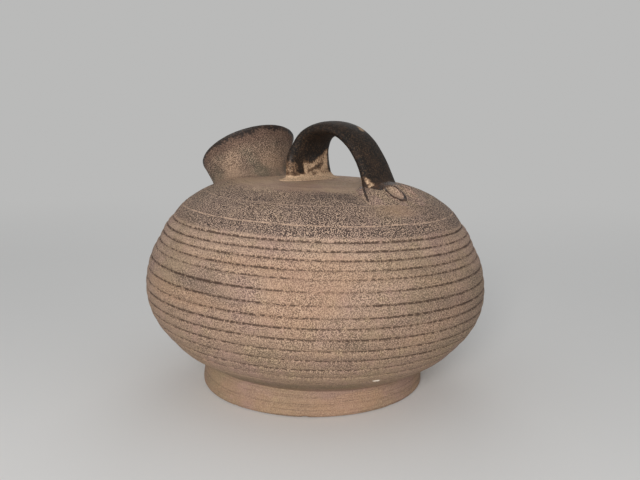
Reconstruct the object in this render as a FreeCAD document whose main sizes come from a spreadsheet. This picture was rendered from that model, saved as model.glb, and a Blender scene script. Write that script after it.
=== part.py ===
import FreeCAD, Part
import math
import os

import Sketcher

# Ribbed stoneware chamber pot, in millimetres.
# The origin is on the ground under the centre of the widest ring, +Z is up,
# the spout leans towards -X and the handle runs towards +X.
# The thrown body leans a little on its level foot, as a hand-made pot does.

# Driving sizes, each a cell of the sheet
SIZES = {
    # foot ring
    "foot_radius": 70.4,
    "foot_hollow_radius": 57.0,
    "foot_height": 15.5,
    "ground_allowance": 4.0,
    # thrown body
    "belly_radius": 107.6,
    "belly_height": 63.5,
    "floor_thickness": 8.5,
    "floor_radius": 76.0,
    "wall_thickness": 7.0,
    "rib_rise": 0.8,
    "wall_lean": 1.6,
    "lean_heading": 40.0,
    # shoulder and crown
    "shoulder_radius": 84.9,
    "shoulder_height": 113.3,
    "crown_edge_radius": 62.0,
    "crown_edge_height": 125.9,
    "crown_flat_radius": 42.0,
    "crown_height": 129.6,
    # spout
    "neck_reach": 56.6,
    "neck_side": 3.8,
    "neck_turn": 12.5,
    "neck_root_height": 122.0,
    "neck_tilt": 22.0,
    "neck_root_radius": 25.6,
    "neck_flare_start": 10.5,
    "mouth_radius": 31.4,
    "mouth_height": 20.5,
    "mouth_tilt": 34.9,
    "neck_wall": 5.0,
    "neck_tail": 12.0,
    # handle
    "handle_front": -5.5,
    "handle_span": 58.0,
    "handle_rise": 32.3,
    "strap_width": 27.0,
    "strap_thickness": 9.2,
    # luting clay
    "neck_luting_width": 7.0,
    "neck_luting_depth": 5.0,
    "strap_luting_width": 5.0,
    "strap_luting_height": 6.5,
    "luting_edge": 0.8,
    "rear_pad_overhang": 10.0,
    "rear_pad_sink": 5.8,
    "rear_pad_length": 40.0,
    "rear_pad_width": 48.0,
    "rear_pad_thickness": 11.0,
    "rear_pad_slope": 16.0,
    "rear_pad_bevel": 6.0,
    "finger_mark_radius": 7.0,
    "finger_mark_spacing": 17.0,
    "finger_mark_tilt": 101.0,
}

# Rings on the lower wall: share of the way out from foot to belly, share of the way up.
# Every other ring is the crest of a rib and the ones between are grooves.
LOWER_RING_SHARES = (
    (0.542, 0.285),
    (0.653, 0.384),
    (0.766, 0.485),
    (0.863, 0.599),
    (0.938, 0.725),
    (0.985, 0.86),
)

# Rings on the upper wall: share of the way out from shoulder to belly, share of the way up
UPPER_RING_SHARES = (
    (0.982, 0.135),
    (0.928, 0.268),
    (0.846, 0.397),
    (0.719, 0.517),
    (0.584, 0.633),
    (0.459, 0.75),
    (0.273, 0.843),
)

# The bends of the hollow: share of the way out to the belly's inside, share of the way up
LOWER_HOLLOW_SHARES = ((1.0, 0.65),)
UPPER_HOLLOW_SHARES = ((0.74, 0.54),)

# The bend of the smooth shoulder between the ribs and the crown
SHOULDER_BEND_SHARES = ((0.44, 0.56),)

# Corners of the strap's section, as shares of its thickness and width
SECTION_CORNER_SHARES = (
    (0.50, 0.22), (0.26, 0.47), (-0.26, 0.47), (-0.50, 0.22),
    (-0.50, -0.22), (-0.26, -0.47), (0.26, -0.47), (0.50, -0.22),
)

# Corners of the pad pressed out like a fan, as shares of its length and width
PAD_CORNER_SHARES = (
    (0.50, 0.26), (0.20, 0.50), (-0.20, 0.36), (-0.50, 0.18),
    (-0.50, -0.18), (-0.20, -0.36), (0.20, -0.50), (0.50, -0.26),
)

# The strap from its front root over the top to its rear root:
# shares of span and rise, then shares of width and thickness
STRAP_STATION_SHARES = (
    (0.0, 0.0, 1.5, 1.32),
    (-0.05, 0.278, 1.42, 1.24),
    (-0.035, 0.559, 1.3, 1.14),
    (0.03, 0.801, 1.12, 1.05),
    (0.14, 0.956, 1.0, 1.0),
    (0.267, 1.011, 1.0, 1.0),
    (0.4, 1.001, 1.0, 1.0),
    (0.526, 0.923, 1.0, 1.0),
    (0.633, 0.765, 1.0, 1.0),
    (0.729, 0.573, 1.0, 1.0),
    (0.807, 0.376, 1.0, 1.0),
    (0.857, 0.192, 1.0, 1.0),
    (0.898, 0.036, 1.0, 1.0),
)

# How far the neck's outline runs on past the mouth
MOUTH_OVERRUN_SHARE = 2.0

# Flats that the potter's thumb leaves round the neck's luting
LUTING_FLATS = 24


class Size:
    """A length with its value and the sheet expression that gives it."""

    def __init__(self, value, text):
        self.value = value
        self.text = text

    def _join(self, other, sign, value):
        text = other.text if isinstance(other, Size) else repr(float(other))
        return Size(value, "(%s %s %s)" % (self.text, sign, text))

    def __add__(self, other):
        return self._join(other, "+", self.value + number(other))

    def __sub__(self, other):
        return self._join(other, "-", self.value - number(other))

    def __mul__(self, other):
        return self._join(other, "*", self.value * number(other))

    def __truediv__(self, other):
        return self._join(other, "/", self.value / number(other))

    def __neg__(self):
        return self * -1


def number(length):
    return length.value if isinstance(length, Size) else float(length)


def sine(angle):
    return Size(math.sin(math.radians(angle.value)), "sin(%s)" % angle.text)


def cosine(angle):
    return Size(math.cos(math.radians(angle.value)), "cos(%s)" % angle.text)


def heading(start, end):
    """Angle from upright of the way between two points of the XZ plane."""
    across = end[0] - start[0]
    above = end[1] - start[1]
    angle = math.degrees(math.atan2(across.value, above.value))
    return Size(angle, "atan2(%s; %s)" % (across.text, above.text))


def between(start, end, share):
    return start + (end - start) * share


class Sheet:
    """The spreadsheet of driving sizes, read as attributes."""

    def __init__(self, document, sizes):
        cells = document.addObject("Spreadsheet::Sheet", "Sizes")
        for row, (name, value) in enumerate(sizes.items(), start=1):
            cells.set("A%d" % row, name)
            cells.set("B%d" % row, repr(value))
            cells.setAlias("B%d" % row, name)
            setattr(self, name, Size(value, "Sizes." + name))


os.makedirs("parts", exist_ok=True)
doc = FreeCAD.newDocument("chamber_pot")
size = Sheet(doc, SIZES)
doc.recompute()
NONE = Size(0.0, "0")


# Places
UPRIGHT = "vector(0; 0; 1)"
SIDEWAYS = "vector(0; 1; 0)"


def vector_text(x, y, z):
    return "vector(%s; %s; %s)" % (x.text, y.text, z.text)


def placed(x, y, z, axis=UPRIGHT, angle=NONE):
    return "placement(%s; rotation(%s; %s))" % (vector_text(x, y, z), axis, angle.text)


# The body leans about the centre of its widest ring
lean_out = size.belly_height * sine(size.wall_lean)
lean_x = lean_out * cosine(size.lean_heading)
lean_y = lean_out * sine(size.lean_heading)
lean_drop = size.belly_height - size.belly_height * cosine(size.wall_lean)
lean_axis = vector_text(-sine(size.lean_heading), cosine(size.lean_heading), NONE)
LEANING = placed(-lean_x, -lean_y, lean_drop, lean_axis, size.wall_lean)
LEVEL = placed(NONE, NONE, NONE)


# Bodies and sketches
def new_body(name, placement=LEANING):
    body = doc.addObject("PartDesign::Body", name)
    body.Label = name
    body.setExpression("Placement", placement)
    return body


def new_sketch(body, name, plane_role):
    sketch = body.newObject("Sketcher::SketchObject", name)
    plane = [item for item in body.Origin.OriginFeatures if item.Role == plane_role][0]
    sketch.AttachmentSupport = [(plane, "")]
    sketch.MapMode = "FlatFace"
    return sketch


def bind(sketch, constraint, name, length):
    index = sketch.addConstraint(constraint)
    sketch.renameConstraint(index, name)
    sketch.setExpression("Constraints." + name, length.text)


def place_corner(sketch, index, corner):
    """Each corner sits on an axis or at a bound distance from it."""
    across, above = corner
    for value, axis, kind, word in ((across, -2, "DistanceX", "across"), (above, -1, "DistanceY", "above")):
        if value is NONE:
            sketch.addConstraint(Sketcher.Constraint("PointOnObject", index, 1, axis))
        else:
            distance = Sketcher.Constraint(kind, -1, 1, index, 1, value.value)
            bind(sketch, distance, "%s%d" % (word, index), value)


def draw_outline(sketch, corners):
    """A closed outline with straight sides."""
    points = [FreeCAD.Vector(across.value, above.value, 0) for across, above in corners]
    for start, end in zip(points, points[1:] + points[:1]):
        sketch.addGeometry(Part.LineSegment(start, end), False)
    for index, corner in enumerate(corners):
        before = (index - 1) % len(corners)
        sketch.addConstraint(Sketcher.Constraint("Coincident", before, 2, index, 1))
        place_corner(sketch, index, corner)


def revolved(name, corners, placement=LEANING):
    """A body turned about its upright axis from an outline in its XZ plane."""
    body = new_body(name, placement)
    sketch = new_sketch(body, name + "_outline", "XZ_Plane")
    draw_outline(sketch, corners)
    turned = body.newObject("PartDesign::Revolution", name + "_turned")
    turned.Profile = sketch
    turned.ReferenceAxis = (sketch, ["V_Axis"])
    turned.Angle = 360
    return body


def section(body, name, depth, width, shares, placement):
    """A straight-sided section, its corners at shares of its depth along X and its width along Y."""
    sketch = new_sketch(body, name, "XY_Plane")
    draw_outline(sketch, [(depth * across, width * along) for across, along in shares])
    sketch.setExpression("AttachmentOffset", placement)
    return sketch


def ruled_loft(name, sections):
    """Straight runs of clay from section to section."""
    run = doc.addObject("Part::Loft", name)
    run.Sections = sections
    run.Solid = True
    run.Ruled = True
    run.Linearize = True
    run.Label = name
    return run


def cut(name, base, tools):
    """What is left of the base after each tool is taken out of it in turn."""
    piece = base
    for step, tool in enumerate(tools, start=1):
        label = name if step == len(tools) else "%s_step%d" % (name, step)
        remainder = doc.addObject("Part::Cut", label)
        remainder.Base = piece
        remainder.Tool = tool
        remainder.Label = label
        piece = remainder
    return piece


# The wall between two of its heights
def ring_corners(start, end, shares):
    """Corners at shares of the way from the narrow end to the wide end."""
    return [(between(start[0], end[0], out), between(start[1], end[1], up)) for out, up in shares]


def ribbed(corners):
    """Every other corner stands out as the crest of a rib."""
    return [(across + size.rib_rise, above) if index % 2 else (across, above)
            for index, (across, above) in enumerate(corners)]


foot_joint = (size.foot_radius, size.foot_height)
belly = (size.belly_radius, size.belly_height)
shoulder = (size.shoulder_radius, size.shoulder_height)
crown_edge = (size.crown_edge_radius, size.crown_edge_height)
belly_inside = (size.belly_radius - size.wall_thickness, size.belly_height)
floor_edge = (size.floor_radius, size.foot_height + size.floor_thickness)
crown_inside = (size.crown_edge_radius, size.crown_edge_height - size.wall_thickness)


def upward_corners(narrow, wide, shares):
    """As ring_corners, for a wall that narrows as it rises."""
    return [(between(narrow[0], wide[0], out), between(wide[1], narrow[1], up)) for out, up in shares]


# Lower bowl: flat floor and a ribbed wall up to the widest ring
def make_lower_bowl():
    underside = [(NONE, size.foot_height), foot_joint]
    rings = ribbed(ring_corners(foot_joint, belly, LOWER_RING_SHARES))
    hollow = ring_corners(floor_edge, belly_inside, LOWER_HOLLOW_SHARES)
    return revolved("lower_bowl", underside + rings + [belly, belly_inside] + hollow[::-1] + [
        floor_edge, (NONE, floor_edge[1])])


# Shoulder and dome: ribs up to the bend of the shoulder, then a smooth low crown
def make_shoulder_block():
    rings = ribbed(upward_corners(shoulder, belly, UPPER_RING_SHARES))
    bend = upward_corners(crown_edge, shoulder, SHOULDER_BEND_SHARES)
    return revolved("shoulder_block", [(NONE, belly[1]), belly] + rings + [shoulder] + bend + [
        crown_edge, (size.crown_flat_radius, size.crown_height), (NONE, size.crown_height)])


def make_shoulder_hollow():
    bend = upward_corners(crown_inside, belly_inside, UPPER_HOLLOW_SHARES)
    return revolved("shoulder_hollow", [(NONE, belly_inside[1]), belly_inside] + bend + [
        crown_inside, (NONE, crown_inside[1])])


# Foot ring: turned on the body's own axis, then worn level on the ground
def make_foot_blank():
    sole = -size.ground_allowance
    return revolved("foot_blank", [
        (size.foot_hollow_radius, sole),
        (size.foot_radius, sole),
        foot_joint,
        (size.foot_hollow_radius, size.foot_height),
    ])


def make_ground():
    """The level ground that the foot is worn down to."""
    ground = doc.addObject("Part::Box", "ground")
    reach = size.belly_radius * 2
    ground.setExpression("Length", reach.text)
    ground.setExpression("Width", reach.text)
    ground.setExpression("Height", (size.ground_allowance * 2).text)
    ground.setExpression("Placement", placed(-reach / 2, -reach / 2, -size.ground_allowance * 2))
    return ground


# Spout: a short flared neck, its mouth cut on the slant
NECK_PLACE = " * ".join((
    LEANING,
    placed(-size.neck_reach, -size.neck_side, size.neck_root_height, UPRIGHT, -size.neck_turn),
    placed(NONE, NONE, NONE, SIDEWAYS, -size.neck_tilt),
))
flare_foot = (size.neck_root_radius, size.neck_flare_start)
mouth = (size.mouth_radius, size.mouth_height)


def make_neck():
    past_mouth = [between(start, end, MOUTH_OVERRUN_SHARE) for start, end in zip(flare_foot, mouth)]
    outside = [(size.neck_root_radius, -size.neck_tail), flare_foot, past_mouth]
    bore = [(across - size.neck_wall, above) for across, above in outside]
    return revolved("neck_blank", outside + bore[::-1], NECK_PLACE)


def make_mouth_cut():
    """Everything above the slanted mouth."""
    block = doc.addObject("Part::Box", "mouth_cut")
    reach = size.mouth_radius * 4
    block.setExpression("Length", reach.text)
    block.setExpression("Width", reach.text)
    block.setExpression("Height", reach.text)
    slant = placed(NONE, NONE, size.mouth_height, SIDEWAYS, size.neck_tilt - size.mouth_tilt)
    centred = placed(-reach / 2, -reach / 2, NONE)
    block.setExpression("Placement", " * ".join((NECK_PLACE, slant, centred)))
    return block


def make_dome_hole():
    hole = doc.addObject("Part::Cylinder", "dome_hole")
    hole.setExpression("Radius", (size.neck_root_radius - size.neck_wall).text)
    hole.setExpression("Height", (size.neck_tail * 3).text)
    hole.setExpression("Placement", NECK_PLACE + " * " + placed(NONE, NONE, -size.neck_tail * 2))
    return hole


def make_neck_root():
    """The root of the neck, solid, to shape the clay round it."""
    root = doc.addObject("Part::Cylinder", "neck_root")
    root.setExpression("Radius", size.neck_root_radius.text)
    root.setExpression("Height", (size.neck_tail + size.mouth_height).text)
    root.setExpression("Placement", NECK_PLACE + " * " + placed(NONE, NONE, -size.neck_tail))
    return root


def dome_height(reach):
    """Height of the dome's slope, between its flat crown and the crown's edge."""
    slope = (size.crown_height - size.crown_edge_height) / (size.crown_edge_radius - size.crown_flat_radius)
    return size.crown_height - (reach - size.crown_flat_radius) * slope


# Handle: a pulled strap, wide at its front root, bent in short straight runs
STRAP_END_SHARE = STRAP_STATION_SHARES[-1][0]
strap_end = size.handle_front + size.handle_span * STRAP_END_SHARE


def strap_point(along, rise):
    """A point of the strap's middle, its rise taken from a line between its two roots."""
    root_line = between(size.crown_height, dome_height(strap_end), along / STRAP_END_SHARE)
    return (size.handle_front + size.handle_span * along, root_line + size.handle_rise * rise)


strap_line = [strap_point(along, rise) for along, rise, wide, thick in STRAP_STATION_SHARES]
strap_runs = [heading(start, end) for start, end in zip(strap_line, strap_line[1:])]

# Tilt of the section at each station and half the turn that the strap makes there
strap_bends = [
    ((after + before) / 2, (after - before) / 2) for before, after in zip(strap_runs, strap_runs[1:])]
strap_turns = [(NONE, NONE)] + strap_bends + [(strap_runs[-1], NONE)]


def station_section(body, index, spread=NONE):
    """The strap's section at a station, mitred across the bend and spread on all sides."""
    along, rise, wide, thick = STRAP_STATION_SHARES[index]
    tilt, half_turn = strap_turns[index]
    x, z = strap_line[index]
    thickness = size.strap_thickness * thick / cosine(half_turn) + spread * 2
    width = size.strap_width * wide + spread * 2
    place = LEANING + " * " + placed(x, NONE, z, SIDEWAYS, tilt)
    return section(body, "%s%d" % (body.Label, index), thickness, width, SECTION_CORNER_SHARES, place)


def make_strap():
    body = new_body("strap_section", LEVEL)
    return ruled_loft("handle_strap", [station_section(body, index) for index in range(len(strap_line))])


def bevelled_pad(body, outline, height, width, drop):
    """Clay of an even height whose top edge is smoothed down to the surface round it."""
    pad = body.newObject("PartDesign::Pad", body.Label + "_clay")
    pad.Profile = outline
    pad.setExpression("Length", height.text)
    doc.recompute()
    faces = dict(enumerate(pad.Shape.Faces, start=1))
    top = max(faces, key=lambda index: faces[index].normalAt(0, 0).z)
    bevel = body.newObject("PartDesign::Chamfer", body.Label + "_bevel")
    bevel.Base = (pad, ["Face%d" % top])
    bevel.ChamferType = "Two distances"
    bevel.setExpression("Size", drop.text)
    bevel.setExpression("Size2", width.text)
    return body


def make_neck_luting():
    """Clay smoothed into the angle between neck and dome."""
    body = new_body("neck_luting_blank", NECK_PLACE)
    across = (size.neck_root_radius + size.neck_luting_width) * 2
    turns = [2 * math.pi * step / LUTING_FLATS for step in range(LUTING_FLATS)]
    ring_shares = [(math.cos(turn) / 2, math.sin(turn) / 2) for turn in turns]
    sunk = placed(NONE, NONE, -size.neck_luting_depth)
    foot = section(body, "neck_luting_foot", across, across, ring_shares, sunk)
    height = size.neck_luting_depth + size.neck_flare_start
    bevel_width = size.neck_luting_width - size.luting_edge
    return bevelled_pad(body, foot, height, bevel_width, height - size.luting_edge)


def make_front_luting():
    """Clay smoothed into the angle between the strap's front root and the crown."""
    body = new_body("front_luting_blank", LEVEL)
    foot = station_section(body, 0, size.strap_luting_width)
    height = size.strap_luting_height
    bevel_width = size.strap_luting_width - size.luting_edge
    return bevelled_pad(body, foot, height, bevel_width, height - size.luting_edge)


pad_centre = strap_end + size.rear_pad_overhang
REAR_PAD_PLACE = placed(
    pad_centre, NONE, dome_height(pad_centre) - size.rear_pad_sink, SIDEWAYS, size.rear_pad_slope)


def make_rear_pad():
    """Clay pressed down round the strap's rear root."""
    body = new_body("rear_pad_blank")
    foot = section(
        body, "rear_pad_foot", size.rear_pad_length, size.rear_pad_width, PAD_CORNER_SHARES, REAR_PAD_PLACE)
    return bevelled_pad(body, foot, size.rear_pad_thickness, size.rear_pad_bevel, size.rear_pad_bevel)


def make_finger_mark(name, side):
    """The dent of a fingertip drawn down over the pad's outer end."""
    mark = doc.addObject("Part::Cylinder", name)
    mark.setExpression("Radius", size.finger_mark_radius.text)
    mark.setExpression("Height", size.rear_pad_length.text)
    across = size.finger_mark_spacing * side / 2
    above = size.rear_pad_thickness + size.finger_mark_radius
    place = placed(NONE, across, above, SIDEWAYS, size.finger_mark_tilt)
    mark.setExpression("Placement", " * ".join((LEANING, REAR_PAD_PLACE, place)))
    return mark


# Assembly: each joint is a face cut to fit its neighbour
shoulder_block = make_shoulder_block()
strap = make_strap()
pieces = [
    cut("foot_ring", make_foot_blank(), [make_ground()]),
    make_lower_bowl(),
    cut("shoulder_dome", shoulder_block, [make_shoulder_hollow(), make_dome_hole()]),
    cut("spout", make_neck(), [shoulder_block, make_mouth_cut()]),
    cut("spout_luting", make_neck_luting(), [make_neck_root(), shoulder_block]),
    strap,
    cut("front_handle_luting", make_front_luting(), [strap]),
    cut("rear_handle_pad", make_rear_pad(), [
        strap,
        shoulder_block,
        make_finger_mark("near_finger_mark", -1),
        make_finger_mark("far_finger_mark", 1),
    ]),
]
doc.recompute()

for item in doc.Objects:
    if {"Invalid", "Error"} & set(item.State):
        raise RuntimeError("%s did not recompute: %s" % (item.Label, item.State))
for piece in pieces:
    if piece.Shape.isNull() or not piece.Shape.isValid():
        raise RuntimeError("%s has no valid shape" % piece.Label)
for piece in pieces:
    piece.Shape.exportStep("parts/%s.step" % piece.Label)
    print("%-20s %d solids %9.0f mm3" % (piece.Label, len(piece.Shape.Solids), piece.Shape.Volume))
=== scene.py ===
import bisect
import math

import bmesh
import bpy
from mathutils import Matrix, Vector, noise


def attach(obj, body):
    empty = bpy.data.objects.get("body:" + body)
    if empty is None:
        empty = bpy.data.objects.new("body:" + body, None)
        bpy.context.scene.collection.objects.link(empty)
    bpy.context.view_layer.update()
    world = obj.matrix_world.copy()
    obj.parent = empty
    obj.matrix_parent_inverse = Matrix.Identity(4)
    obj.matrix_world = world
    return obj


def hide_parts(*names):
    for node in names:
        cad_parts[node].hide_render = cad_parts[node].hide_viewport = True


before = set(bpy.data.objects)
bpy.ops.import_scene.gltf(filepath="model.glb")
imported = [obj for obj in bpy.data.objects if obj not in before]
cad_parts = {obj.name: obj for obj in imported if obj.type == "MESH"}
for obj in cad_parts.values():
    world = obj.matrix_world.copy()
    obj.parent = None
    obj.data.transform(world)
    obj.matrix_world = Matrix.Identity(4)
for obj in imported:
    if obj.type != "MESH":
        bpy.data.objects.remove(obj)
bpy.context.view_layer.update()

# Ribbed stoneware chamber pot. Shapes are worked out in millimetres in the frame of
# the thrown body, which leans a little on its level foot, and then set on the ground.
MM = 0.001
TURN = 2 * math.pi

LEAN = math.radians(1.6)
LEAN_HEADING = math.radians(40)
BELLY_HEIGHT = 63.5

LEAN_OUT = BELLY_HEIGHT * math.sin(LEAN)
LEANING = Matrix.Translation((
    -LEAN_OUT * math.cos(LEAN_HEADING),
    -LEAN_OUT * math.sin(LEAN_HEADING),
    BELLY_HEIGHT * (1 - math.cos(LEAN)),
)) @ Matrix.Rotation(LEAN, 4, Vector((-math.sin(LEAN_HEADING), math.cos(LEAN_HEADING), 0)))

COLUMNS = 384


# Small helpers
def lerp(a, b, t):
    return a + (b - a) * t


def clamp(x, lo=0.0, hi=1.0):
    return max(lo, min(hi, x))


def smooth(x, lo, hi):
    """0 below lo, 1 above hi, with an even S curve between. Works with lo above hi too."""
    t = clamp((x - lo) / (hi - lo))
    return t * t * (3 - 2 * t)


def bell(x, width):
    return math.exp(-(x / width) ** 2)


def wobble(*coords):
    """Smooth seeded noise between about -1 and 1."""
    return noise.noise(Vector(coords))


def around(angle, tightness, level):
    """The same noise round a ring, with a ring of its own for each level."""
    return wobble(tightness * math.cos(angle), tightness * math.sin(angle), level)


def spline(points, steps):
    """A Catmull-Rom curve through every given point, with centripetal knots."""
    before = tuple(2 * a - b for a, b in zip(points[0], points[1]))
    after = tuple(2 * a - b for a, b in zip(points[-1], points[-2]))
    full = [before, *points, after]
    out = []
    for four in zip(full, full[1:], full[2:], full[3:]):
        d0, d1, d2 = (max(math.dist(a[:2], b[:2]), 1e-6) ** 0.5 for a, b in zip(four, four[1:]))
        for k in range(steps):
            t = k / steps
            point = []
            for q0, q1, q2, q3 in zip(*four):
                chord = (q2 - q1) / d1
                m1 = d1 * ((q1 - q0) / d0 - (q2 - q0) / (d0 + d1) + chord)
                m2 = d1 * (chord - (q3 - q1) / (d1 + d2) + (q3 - q2) / d2)
                a = 2 * (q1 - q2) + m1 + m2
                b = -3 * (q1 - q2) - 2 * m1 - m2
                point.append(((a * t + b) * t + m1) * t + q1)
            out.append(tuple(point))
    out.append(tuple(points[-1]))
    return out


def skin(name, rings, marks, loop=False):
    """A closed mesh through rings of vertices. A vertex is x, y, z and its marks, in order.

    A ring of one vertex is a pole. With loop the last ring joins the first.
    """
    verts, faces, starts = [], [], []
    for ring in rings:
        starts.append(len(verts))
        verts += ring
    pairs = list(zip(range(len(rings)), range(1, len(rings))))
    if loop:
        pairs.append((len(rings) - 1, 0))
    for a, b in pairs:
        na, nb = len(rings[a]), len(rings[b])
        sa, sb = starts[a], starts[b]
        for i in range(max(na, nb)):
            j = (i + 1) % max(na, nb)
            if na == 1:
                faces.append((sa, sb + i, sb + j))
            elif nb == 1:
                faces.append((sa + i, sb, sa + j))
            else:
                faces.append((sa + i, sb + i, sb + j, sa + j))
    mesh = bpy.data.meshes.new(name)
    mesh.from_pydata([LEANING @ Vector(v[:3]) * MM for v in verts], [], faces)
    for index, mark in enumerate(marks, start=3):
        layer = mesh.attributes.new(mark, "FLOAT", "POINT")
        layer.data.foreach_set("value", [v[index] for v in verts])
    tidy = bmesh.new()
    tidy.from_mesh(mesh)
    bmesh.ops.recalc_face_normals(tidy, faces=tidy.faces)
    tidy.to_mesh(mesh)
    tidy.free()
    mesh.shade_smooth()
    piece = bpy.data.objects.new(name, mesh)
    bpy.context.scene.collection.objects.link(piece)
    return piece


# Outline of the thrown body: radius, height, depth of the groove at that point
PROFILE = (
    (69.9, 15.5, 0.0),
    (73.2, 17.3, 0.0),
    (80.4, 21.6, 0.15),
    (85.2, 24.6, 0.25),
    (88.7, 27.4, 0.4),
    (93.1, 32.2, 0.75),
    (98.1, 38.0, 0.95),
    (102.5, 44.6, 1.0),
    (105.3, 50.9, 1.0),
    (106.9, 57.2, 1.0),
    (107.4, 63.5, 1.0),
    (107.1, 69.1, 1.0),
    (106.1, 75.3, 0.9),
    (104.3, 82.2, 1.0),
    (101.6, 88.2, 0.8),
    (99.2, 92.4, 0.8),
    (97.0, 97.1, 0.9),
    (94.7, 101.5, 1.0),
    (91.1, 105.6, 1.0),
    (84.9, 113.2, 0.25),
    (73.0, 121.4, 0.0),
    (60.0, 126.5, 0.0),
    (45.0, 128.6, 0.0),
    (25.0, 129.6, 0.0),
    (0.0, 130.0, 0.0),
)

# Points of the outline: the widest ring, the top of the ribs and the incised line
BELLY_ROW = 10
RIB_TOP_ROW = 18
LINE_ROW = 19

# Rows of vertices from one point to the next, and steps of the curve between them
RIB_STEPS = 14
DOME_STEPS = 12
CURVE_STEPS = 24

# Depth of a full groove, and how far a rib's middle stands over its edges
GROOVE_DEPTH = 0.55
RIB_CROWN = 0.34

# Patch where handling wore the ribs: heading, spread in degrees, middle groove, reach in grooves
WORN_PATCH = (-49, 17, 13, 3.6)


def body_rows():
    """Rows of the outline: radius, height, outward normal, groove index, share and length of
    the span between two grooves, and the run of the wall up to the row."""
    curve = spline([p[:2] for p in PROFILE], CURVE_STEPS)
    rows = []
    run = 0.0
    for k in range(len(PROFILE) - 1):
        part = curve[k * CURVE_STEPS:(k + 1) * CURVE_STEPS + 1]
        lengths = [0.0]
        for a, b in zip(part, part[1:]):
            lengths.append(lengths[-1] + math.dist(a, b))
        total = lengths[-1]
        steps = RIB_STEPS if k <= LINE_ROW else DOME_STEPS
        for i in range(steps):
            u = 0.5 - 0.5 * math.cos(math.pi * i / steps)
            s = u * total
            j = min(bisect.bisect_right(lengths, s), len(part) - 1)
            t = (s - lengths[j - 1]) / (lengths[j] - lengths[j - 1])
            (r0, z0), (r1, z1) = part[j - 1], part[j]
            slope = math.hypot(r1 - r0, z1 - z0)
            normal = ((z1 - z0) / slope, -(r1 - r0) / slope)
            rows.append((lerp(r0, r1, t), lerp(z0, z1, t), normal, k, u, total, run + s))
        run += total
    return rows


def off_heading(angle, heading):
    """Degrees from a heading, between -180 and 180."""
    return (math.degrees(angle) - heading + 180) % 360 - 180


def groove_depth(k, angle):
    """Depth of a groove, uneven round the pot and worn where it was handled."""
    uneven = 1 + 0.50 * around(angle, 1.6, 7.3 * k) + 0.30 * around(angle, 9, 3.1 * k)
    uneven += 0.18 * around(angle, 40, 5.7 * k)
    heading, spread, middle, reach = WORN_PATCH
    heading += 5 * wobble(0, 0, k * 1.7)
    worn = 1 - 0.55 * bell(off_heading(angle, heading), spread) * bell(k - middle, reach)
    return PROFILE[k][2] * clamp(uneven * worn, 0.1, 1.5)


def wall_vertex(row, angle):
    """A vertex of the outer wall with its marks."""
    radius, height, normal, k, u, total, run = row
    width = 0.66 + 0.16 * around(angle, 5, 2.0 * k)
    below = groove_depth(k, angle) * bell(u * total, width)
    above = groove_depth(k + 1, angle) * bell((1 - u) * total, width)
    stained = (below if k != LINE_ROW else 0) + (above if k + 1 != LINE_ROW else 0)
    rib = min(PROFILE[k][2], 1) * (1 - u) + min(PROFILE[k + 1][2], 1) * u
    crown = rib * RIB_CROWN * (1 - math.sin(math.pi * u) ** 0.8) if k < RIB_TOP_ROW else 0.0
    depth = GROOVE_DEPTH * (below + above) + crown
    depth += 0.12 * (1 + around(angle, 6, height * 0.25))
    depth += 0.07 * (1 + around(angle, 30, height * 0.6))
    depth += 0.05 * (1 + around(angle, 3, run * 0.9)) * smooth(height, 112, 116)
    r = radius - normal[0] * depth
    z = height - normal[1] * depth
    sway = 0.28 * around(angle, 1.3, 0.11 * height)
    z += sway * smooth(height, 16, 24) * smooth(height, 124, 112)
    marks = clay_marks(angle, height, radius, run, stained)
    return (r * math.cos(angle), r * math.sin(angle), z, *marks)


def clay_marks(angle, height, radius, run, groove):
    """What the clay's material reads, in the order of CLAY_MARKS."""
    return (height, run, clamp(groove, 0, 1.3), grey_stain(angle, height, radius),
            warm_stain(angle, height), grain_amount(angle, height, radius),
            soot(angle, height, radius))


def grain_amount(angle, height, radius):
    """How strongly the dark grain shows: most on the shoulder, least where a wet hand wiped."""
    if height > DOME_START:
        edge = 2.0 * around(angle, 2.5, 1.0)
        return lerp(0.16, 1.0, smooth(radius + edge, 50, 60)) * (1 - 0.7 * wiped(angle, radius))
    wall = lerp(0.55, 1.0, smooth(height, 106.6, 108.8))
    return lerp(0.22, wall, smooth(height, 24, 38))


# Kiln stains: heading and height, how far they spread in degrees and in height, strength
GREY_SPOTS = (
    (-84, 87, 9, 5, 0.35),
    (-90, 81, 10, 4, 0.50),
    (-84, 77, 12, 3, 0.30),
    (-128, 88, 12, 14, 0.35),
    (-8, 92, 12, 6, 0.35),
    (-14, 76, 12, 6, 0.25),
    (-20, 66, 26, 26, 0.20),
    (5, 60, 30, 26, 0.30),
    (-98, 108.5, 22, 3, 0.55),
    (-70, 110, 10, 3, 0.45),
    (-20, 109, 9, 3, 0.50),
    (-60, 22, 22, 4, 0.6),
    (-38, 23, 14, 4, 0.5),
    (-85, 21, 16, 4, 0.4),
    (120, 74, 30, 16, 0.45),
    (175, 60, 24, 20, 0.4),
)
WARM_SPOTS = (
    (-52, 78, 14, 16, 0.6),
    (-88, 72, 18, 4, 0.7),
    (-15, 119.5, 12, 4, 0.9),
    (-70, 92, 20, 6, 0.5),
    (-28, 8, 18, 6, 0.9),
    (-62, 7, 20, 6, 0.6),
    (-110, 9, 20, 6, 0.5),
    (90, 86, 22, 10, 0.5),
    (150, 30, 26, 10, 0.5),
)

# Height over which the shoulder is smooth
DOME_START = 116

# Pale wiped patch beside the rear root: place and reach
WIPE = (71.0, -18.0, 14.0)

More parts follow.
